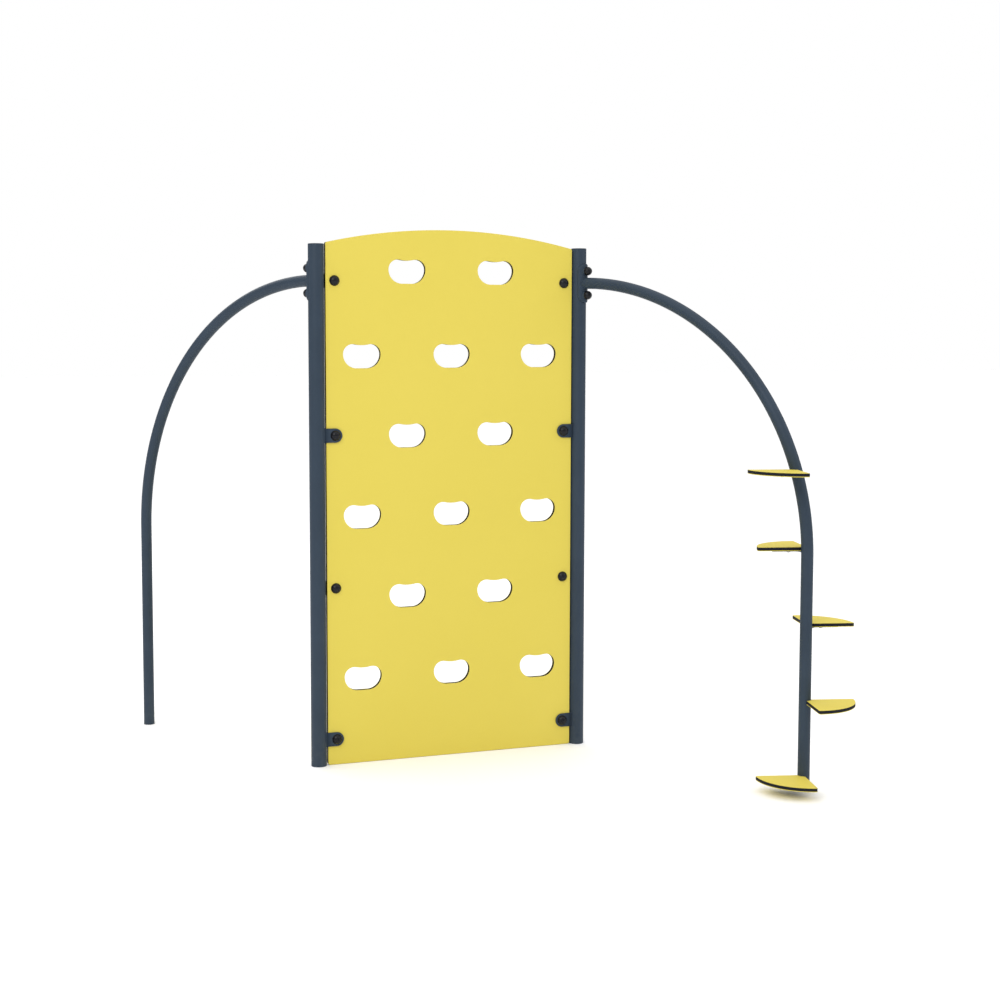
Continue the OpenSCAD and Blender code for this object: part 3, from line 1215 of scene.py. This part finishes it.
@dataclass
class BoardFixings:
    """The welded tabs, and the domed covers over the bolts and nuts that hold the board to them."""

    layout: Layout
    shop: Workshop
    ease: float = 0.8 * MM
    hole: float = 5.5 * MM
    bead: float = 2.4 * MM
    cover_radius: float = 20.0 * MM
    bolt_cover_height: float = 15.0 * MM
    nut_cover_height: float = 19.0 * MM
    count: int = 4

    def tab_box(self, side: Side, number: int) -> tuple[Vector, Vector]:
        """The lowest and highest corner of a tab."""
        low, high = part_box(f"{side.value}_tab_{number}")
        return Vector(low), Vector(high)

    def bolt(self, side: Side, number: int) -> Point:
        """The x and z of a tab's bolt, which is in the middle of its round end."""
        low, high = self.tab_box(side, number)
        radius = (high.z - low.z) / 2
        x = high.x - radius if side is Side.LEFT else low.x + radius
        return x, (low.z + high.z) / 2

    def bolts(self) -> list[Point]:
        """All the bolts."""
        return [self.bolt(side, n) for side in Side for n in range(1, self.count + 1)]

    def build(self) -> None:
        """Makes the tabs with their welds, and the covers."""
        fronts, backs = [], []
        board = self.layout.board_high.y
        for side in Side:
            for number in range(1, self.count + 1):
                name = f"{side.value}_tab_{number}"
                self.shop.steelwork(f"{name}_plate", self.tab(side, number), name)
                weld = self.shop.bead(self.weld_line(side, number), self.bead, closed=True)
                self.shop.steelwork(f"{name}_weld", weld)
                low, high = self.tab_box(side, number)
                x, z = self.bolt(side, number)
                fronts.append((Vector((x, min(low.y, -board), z)), Vector((0, -1, 0))))
                backs.append((Vector((x, max(high.y, board), z)), Vector((0, 1, 0))))
        bolt_cover = DomeCover(self.cover_radius, self.bolt_cover_height).mesh()
        nut_cover = DomeCover(self.cover_radius, self.nut_cover_height).mesh()
        self.shop.covers("board_bolt_covers", bolt_cover, fronts)
        self.shop.covers("board_nut_covers", nut_cover, backs)

    def tab(self, side: Side, number: int) -> bpy.types.Mesh:
        """A tab: a plate with one round end, whose other end is coped to the post."""
        low, high = self.tab_box(Side.LEFT, number)
        radius, reach = (high.z - low.z) / 2, high.x
        root = low.x
        bolt = reach - radius
        outline = [(root, radius), (root, -radius), *arc((bolt, 0.0), radius, -90.0, 90.0, 28)]
        mesh = sheet([outline, circle((bolt, 0.0), self.hole, 24)], high.y - low.y, self.ease)
        upright = Matrix.Translation((0, (low.y + high.y) / 2, (low.z + high.z) / 2))
        placed(mesh, upright @ Matrix.Rotation(math.pi / 2, 4, "X"))
        post = self.layout.post_radius
        for vertex in mesh.vertices:
            if vertex.co.x < root + 2 * self.ease:
                vertex.co.x = math.sqrt(post**2 - vertex.co.y**2)
        return placed(mesh, self.layout.mirror(side))

    def weld_line(self, side: Side, number: int) -> list[Vector]:
        """The closed line round a tab's root, where it meets the post."""
        low, high = self.tab_box(Side.LEFT, number)
        post = self.layout.post_radius
        corners = [(low.y, low.z), (low.y, high.z), (high.y, high.z), (high.y, low.z)]
        line = []
        steps = 8
        for (y0, z0), (y1, z1) in zip(corners, corners[1:] + corners[:1]):
            for i in range(steps):
                y = y0 + (y1 - y0) * i / steps
                z = z0 + (z1 - z0) * i / steps
                line.append(self.layout.mirror(side) @ Vector((math.sqrt(post**2 - y**2), y, z)))
        return line


@dataclass
class DomeCover:
    """A two-part plastic cover: a low base ring, and a domed cap that snaps on to it."""

    radius: float
    height: float
    base: float = 3.0 * MM
    ease: float = 0.6 * MM
    step: float = 0.9 * MM
    bore: float = 12.0 * MM
    roof: float = 2.0 * MM
    sides: int = 64

    def mesh(self) -> bpy.types.Mesh:
        """The cover, standing on z = 0 and hollow below."""
        cap = self.radius - self.step
        rise = self.height - self.base
        dome = (cap**2 + rise**2) / (2 * rise)
        lean = math.degrees(math.asin(cap / dome))
        shoulder = self.base - self.step / 2
        profile = [
            (0.0, self.height),
            *arc((0.0, self.height - dome), dome, 90.0, 90.0 - lean, 20)[1:],
            (cap, shoulder),
            *arc((self.radius - self.ease, shoulder - self.ease), self.ease, 90.0, 0.0, 4),
            (self.radius, 0.0),
            (self.bore, 0.0),
            (self.bore, self.height - self.roof - rise / 3),
            (0.0, self.height - self.roof),
        ]
        return lathe(profile, self.sides)


@dataclass
class Arches:
    """The two bent tubes, and the curved flanges that hold them to the posts."""

    layout: Layout
    shop: Workshop
    bend_start: float = 23.0 * MM
    bend_radius: float = 1.010
    wall: float = 2.6 * MM
    flange_thickness: float = 6.0 * MM
    flange_width: float = 56.0 * MM
    flange_height: float = 154.0 * MM
    bolt_pitch: float = 95.0 * MM
    insert_hole: float = 8.5 * MM
    saddle: float = 3.0 * MM
    cover_radius: float = 18.0 * MM
    cover_height: float = 23.0 * MM
    ease: float = 0.9 * MM
    bead: float = 2.8 * MM

    @property
    def flange_radius(self) -> float:
        """The radius of a flange's outer face."""
        return self.layout.post_radius + self.flange_thickness

    def bar(self, side: Side, radius: float, caps: bool) -> bpy.types.Mesh:
        """A bent bar along an arch.

        Args:
            side: Which arch.
            radius: The bar's radius.
            caps: True for a closed bar, False for an open skin.

        Returns:
            The bar.
        """
        return self.shop.arch.run(bpy.data.meshes.new("nothing"), {
            "Bend Start": self.bend_start,
            "Bend Radius": self.bend_radius,
            "Height": self.layout.arch_height,
            "Bar Radius": radius,
            "Cope Radius": self.flange_radius,
            "Turn": self.layout.arch_turn(side),
            "Post": tuple(self.layout.post(side)),
            "Caps": caps,
            "Material": self.shop.steel,
        })

    def rise(self, height: float) -> float:
        """How far a height is above the top of the straight leg, or 0 on the leg."""
        return max(0.0, height - (self.layout.arch_height - self.bend_radius))

    def reach(self, height: float) -> float:
        """How far the tube's axis is from its post at a height."""
        return self.bend_start + math.sqrt(self.bend_radius**2 - self.rise(height) ** 2)

    def lean(self, height: float) -> float:
        """How far the tube leans from upright at a height, in radians."""
        return math.asin(self.rise(height) / self.bend_radius)

    def build(self) -> None:
        """Makes the tubes, the flanges, their welds and their bolt covers."""
        places = []
        for side in Side:
            name = side.value
            there = self.layout.along_arch(side)
            self.shop.steelwork(f"{name}_arch_bend", self.tube(side), f"{name}_arch_tube")
            self.shop.steelwork(f"{name}_flange_plate", placed(self.flange(), there), f"{name}_flange")
            line = [there @ p for p in self.weld_line()]
            self.shop.steelwork(f"{name}_flange_weld", self.shop.bead(line, self.bead, closed=True))
            for up in (-0.5, 0.5):
                height = self.layout.arch_height + up * self.bolt_pitch
                foot = Vector((self.flange_radius + self.saddle, 0, height))
                places.append((there @ foot, there.to_3x3() @ Vector((1, 0, 0))))
        cover = DomeCover(self.cover_radius, self.cover_height).mesh()
        self.shop.covers("flange_bolt_covers", cover, places)

    def tube(self, side: Side) -> bpy.types.Mesh:
        """An arch tube with its wall."""

        def set_up(carrier: bpy.types.Object) -> None:
            modifier = carrier.modifiers.new("wall", "SOLIDIFY")
            modifier.thickness = self.wall
            modifier.offset = -1.0
            modifier.use_even_offset = True

        skin = tidied(self.bar(side, self.layout.tube_radius, caps=False))
        return creased(evaluated(skin, set_up))

    def flange(self) -> bpy.types.Mesh:
        """A flange: a plate with round ends, bent to hug the post, with two holes."""
        radius = self.flange_width / 2
        straight = self.flange_height / 2 - radius
        outline = [
            *arc((0.0, straight), radius, 0.0, 180.0, 40),
            *arc((0.0, -straight), radius, 180.0, 360.0, 40),
        ]
        holes = [circle((0.0, up * self.bolt_pitch / 2), self.insert_hole, 32) for up in (-1, 1)]
        mesh = sheet([outline, *holes], self.flange_thickness, self.ease)
        wrapped(mesh, self.layout.post_radius, radius, 28)
        return placed(mesh, Matrix.Translation((0, 0, self.layout.arch_height)))

    def weld_line(self) -> list[Vector]:
        """The closed line where a tube meets its flange, with x along the arch."""
        line = []
        for across, up in circle((0.0, self.layout.arch_height), self.layout.tube_radius, 72):
            line.append(Vector((math.sqrt(self.flange_radius**2 - across**2), across, up)))
        return line


@dataclass
class Steps:
    """The five quarter-round steps that wind up the right-hand leg, and what holds them."""

    layout: Layout
    shop: Workshop
    arches: Arches
    radius: float = 179.9 * MM
    thickness: float = 14.0 * MM
    top_skin: float = 0.4 * MM
    under_skin: float = 2.4 * MM
    corner_radius: float = 7.0 * MM
    clearance: float = 1.0 * MM
    ease: float = 1.0 * MM
    plate_thickness: float = 4.0 * MM
    plate_radius: float = 125.0 * MM
    plate_inset: float = 16.0 * MM
    plate_ease: float = 0.5 * MM
    neck: float = 15.0 * MM
    screw_places: tuple[Point, ...] = ((0.100, 0.0), (0.062, 0.026), (0.062, -0.026))
    screw_hole: float = 4.5 * MM
    screw_radius: float = 7.0 * MM
    screw_height: float = 4.4 * MM
    socket: float = 2.9 * MM
    bead: float = 2.0 * MM
    count: int = 5

    def tread(self, number: int) -> float:
        """The height of a step's tread."""
        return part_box(f"step_{number}")[1][2]

    def turn(self, number: int) -> float:
        """A step's turn about the leg: a quarter on from the one below, and the second faces outwards."""
        return (number - 2) * math.pi / 2

    def place(self, number: int) -> Matrix:
        """The middle of the tube at a step's tread, with x along the step's middle line."""
        height = self.tread(number)
        quarter = Matrix.Rotation(self.turn(number), 4, "Z")
        at_tube = Matrix.Translation((self.arches.reach(height), 0, height))
        return self.layout.along_arch(Side.RIGHT) @ at_tube @ quarter

    def build(self) -> None:
        """Makes the boards, their plates, the welds and the screws."""
        tube = self.layout.tube_radius
        around = tidied(self.arches.bar(Side.RIGHT, tube + self.clearance, caps=True))
        against = tidied(self.arches.bar(Side.RIGHT, tube, caps=True))
        core = self.thickness - self.top_skin - self.under_skin
        layers = [self.shop.skin, self.shop.step_core]
        under = -self.thickness - self.plate_thickness
        screws = []
        for number in range(1, self.count + 1):
            there = self.place(number)
            board = cut(self.board(there), around)
            layered(board, Axis.Z, self.tread(number) - self.top_skin - core / 2, core)
            piece(f"step_{number}_board", board, [f"step_{number}"], layers)
            plate = creased(cut(self.plate(there), against))
            self.shop.steelwork(f"step_{number}_bracket", plate, f"step_plate_{number}")
            weld = self.shop.bead(self.weld_line(number), self.bead, closed=False)
            self.shop.steelwork(f"step_{number}_weld", weld)
            for x, y in self.screw_places:
                screws.append((there @ Vector((x, y, under)), Vector((0, 0, -1))))
        heads = self.shop.copies(self.screw(), screws, self.shop.zinc, turn=math.pi / 3)
        piece("step_screw_heads", heads, ["step_screws"], [self.shop.zinc])

    def board(self, there: Matrix) -> bpy.types.Mesh:
        """A step's quarter disc, before it is notched for the tube."""
        corner = self.corner_radius
        reach = self.radius - corner
        lean = math.degrees(math.asin(corner / reach))
        turn = 45.0 - lean
        low = (reach * math.cos(math.radians(turn)), -reach * math.sin(math.radians(turn)))
        high = (low[0], -low[1])
        outline = [
            (0.0, 0.0),
            *arc(low, corner, -135.0, -turn, 10),
            *arc((0.0, 0.0), self.radius, -turn, turn, 64)[1:-1],
            *arc(high, corner, turn, 135.0, 10),
        ]
        mesh = sheet([outline], self.thickness, self.ease)
        return placed(mesh, there @ Matrix.Translation((0, 0, -self.thickness / 2)))

    def plate(self, there: Matrix) -> bpy.types.Mesh:
        """The steel plate under a step: a smaller quarter disc with a neck that runs into the tube."""
        apex = self.plate_inset * math.sqrt(2)
        across = (math.sqrt(2 * self.plate_radius**2 - apex**2) - apex) / 2
        turn = math.degrees(math.asin(across / self.plate_radius))
        outline = [
            (0.0, self.neck),
            (0.0, -self.neck),
            (apex + self.neck, -self.neck),
            *arc((0.0, 0.0), self.plate_radius, -turn, turn, 48),
            (apex + self.neck, self.neck),
        ]
        holes = [circle(place, self.screw_hole, 24) for place in self.screw_places]
        mesh = sheet([outline, *holes], self.plate_thickness, self.plate_ease)
        return placed(mesh, there @ Matrix.Translation((0, 0, -self.thickness - self.plate_thickness / 2)))

    def weld_line(self, number: int) -> list[Vector]:
        """The line under a plate's neck, where it meets the tube, which may lean."""
        height = self.tread(number) - self.thickness - self.plate_thickness
        tube, lean = self.layout.tube_radius, self.arches.lean(height)
        there = self.layout.along_arch(Side.RIGHT)
        half = math.asin(self.neck / tube)
        line = []
        steps = 24
        for i in range(steps + 1):
            turn = self.turn(number) + half * (2 * i / steps - 1)
            distance = tube / math.hypot(math.cos(turn) * math.cos(lean), math.sin(turn))
            x = self.arches.reach(height) + distance * math.cos(turn)
            line.append(there @ Vector((x, distance * math.sin(turn), height)))
        return line

    def screw(self) -> bpy.types.Mesh:
        """A screw's domed head with a hexagon socket."""
        profile = [
            (0.0, 0.0),
            (self.screw_radius - 0.3 * MM, 0.0),
            (self.screw_radius, 0.3 * MM),
            (self.screw_radius - 0.2 * MM, 1.4 * MM),
            (self.screw_radius - 1.2 * MM, 3.0 * MM),
            (self.screw_radius - 2.8 * MM, self.screw_height - 0.3 * MM),
            (self.screw_radius - 3.6 * MM, self.screw_height),
            (0.0, self.screw_height),
        ]
        floor, above = 1.6 * MM, 9.0 * MM
        hexagon = [(0.0, floor), (self.socket, floor), (self.socket, above), (0.0, above)]
        return creased(cut(lathe(profile, 36), lathe(hexagon, 6)))


@dataclass
class HiddenFixings:
    """What the covers, plates and steps enclose. It keeps the frame's shapes and gets real finishes."""

    shop: Workshop
    zinc_nodes: tuple[str, ...] = (
        "board_bolts", "board_washers", "board_nuts", "flange_inserts", "flange_bolts", "step_inserts",
    )
    steel_nodes: tuple[str, ...] = ("flange_saddle_washers",)

    def dress(self) -> None:
        """Gives each node its material."""
        for names, material in ((self.zinc_nodes, self.shop.zinc), (self.steel_nodes, self.shop.steel)):
            for name in names:
                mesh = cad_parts[name].data
                mesh.materials.clear()
                mesh.materials.append(material)
                log.info("%s: kept, with %s", name, material.name)


# ---- The studio ----


def aimed(place: Vector, ahead: Vector) -> Matrix:
    """Stands a lamp or camera at a place, facing ahead."""
    return Matrix.Translation(place) @ ahead.to_track_quat("-Z", "Y").to_matrix().to_4x4()


@dataclass(frozen=True)
class Lamp:
    """A square lamp of soft light."""

    name: str
    place: tuple[float, float, float]
    size: float
    power: float

    def hang(self, target: Vector) -> None:
        """Hangs the lamp so that it faces a point."""
        data = bpy.data.lights.new(self.name, "AREA")
        data.size = self.size
        data.energy = self.power
        place = Vector(self.place)
        linked(self.name, data).matrix_world = aimed(place, target - place)


@dataclass
class Studio:
    """The floor, the light and the camera."""

    eye: Vector
    target: Vector
    lamps: tuple[Lamp, ...] = (
        Lamp("key", (-5.0, -6.0, 6.5), 4.5, 260.0),
        Lamp("fill", (7.5, -4.0, 4.0), 4.0, 60.0),
        Lamp("back", (-1.0, 7.0, 6.0), 5.0, 120.0),
    )
    surround: tuple[tuple[float, Colour], ...] = (
        (0.0, (0.30, 0.30, 0.30)), (0.55, (0.30, 0.30, 0.31)), (1.0, (1.55, 1.55, 1.55)),
    )
    yaw: float = 0.3359
    pitch: float = 0.0786
    lens: float = 58.07
    shift: Point = (0.04637, -0.03696)
    floor_half: float = 60.0

    def build(self) -> None:
        """Sets up the scene."""
        self.floor()
        self.light()
        self.camera()
        bpy.context.scene.view_settings.view_transform = "Standard"

    def floor(self) -> None:
        """Lays the floor, just under the feet."""
        half = self.floor_half
        mesh = bpy.data.meshes.new("studio_floor")
        corners = [(-half, -half, 0), (half, -half, 0), (half, half, 0), (-half, half, 0)]
        mesh.from_pydata(corners, [], [(0, 1, 2, 3)])
        mesh.materials.append(StudioFloor().material())
        linked("studio_floor", mesh)

    def light(self) -> None:
        """A surround that the lens sees as white and that lights from above, and three soft lamps."""
        world = bpy.data.worlds.new("studio")
        world.use_nodes = True
        bpy.context.scene.world = world
        nodes = NodeMaker(world.node_tree)
        world.node_tree.nodes.clear()
        ray = nodes.add("ShaderNodeTexCoord").outputs["Generated"]
        up = nodes.number("ShaderNodeSeparateXYZ", {}, {0: ray}, "Z")
        soft = nodes.add("ShaderNodeValToRGB", {"stops": self.surround}, {"Fac": up * 0.5 + 0.5})
        seen = nodes.add("ShaderNodeLightPath").outputs["Is Camera Ray"]
        colour = nodes.add("ShaderNodeMix", {"data_type": "RGBA"},
                           {"Factor_Float": seen, "A_Color": soft.outputs[0], "B_Color": (1.0, 1.0, 1.0)})
        sky = nodes.add("ShaderNodeBackground", {}, {"Color": colour.outputs[2], "Strength": 1.0})
        nodes.add("ShaderNodeOutputWorld", {}, {"Surface": sky.outputs[0]})
        for lamp in self.lamps:
            lamp.hang(self.target)

    def camera(self) -> None:
        """Sets the camera at a standing person's eye height, left of the wall's middle."""
        data = bpy.data.cameras.new("camera")
        data.lens = self.lens
        data.shift_x, data.shift_y = self.shift
        camera = linked("camera", data)
        level = math.cos(self.pitch)
        ahead = Vector((math.sin(self.yaw) * level, math.cos(self.yaw) * level, -math.sin(self.pitch)))
        camera.matrix_world = aimed(self.eye, ahead)
        bpy.context.scene.camera = camera


def main() -> None:
    """Builds the object piece by piece, then the studio."""
    logging.basicConfig(level=logging.INFO, format="%(message)s")
    layout = Layout.from_frame(tube_radius=22.18 * MM)
    shop = Workshop()
    fixings = BoardFixings(layout, shop)
    arches = Arches(layout, shop)
    Posts(layout, shop).build()
    WallBoard(layout, shop, fixings.bolts()).build()
    fixings.build()
    arches.build()
    Steps(layout, shop, arches).build()
    HiddenFixings(shop).dress()
    Studio(eye=Vector((-1.5263, -5.9470, 1.6530)), target=Vector((0.54, 0.0, 1.0))).build()


if __name__ == "__main__":
    main()
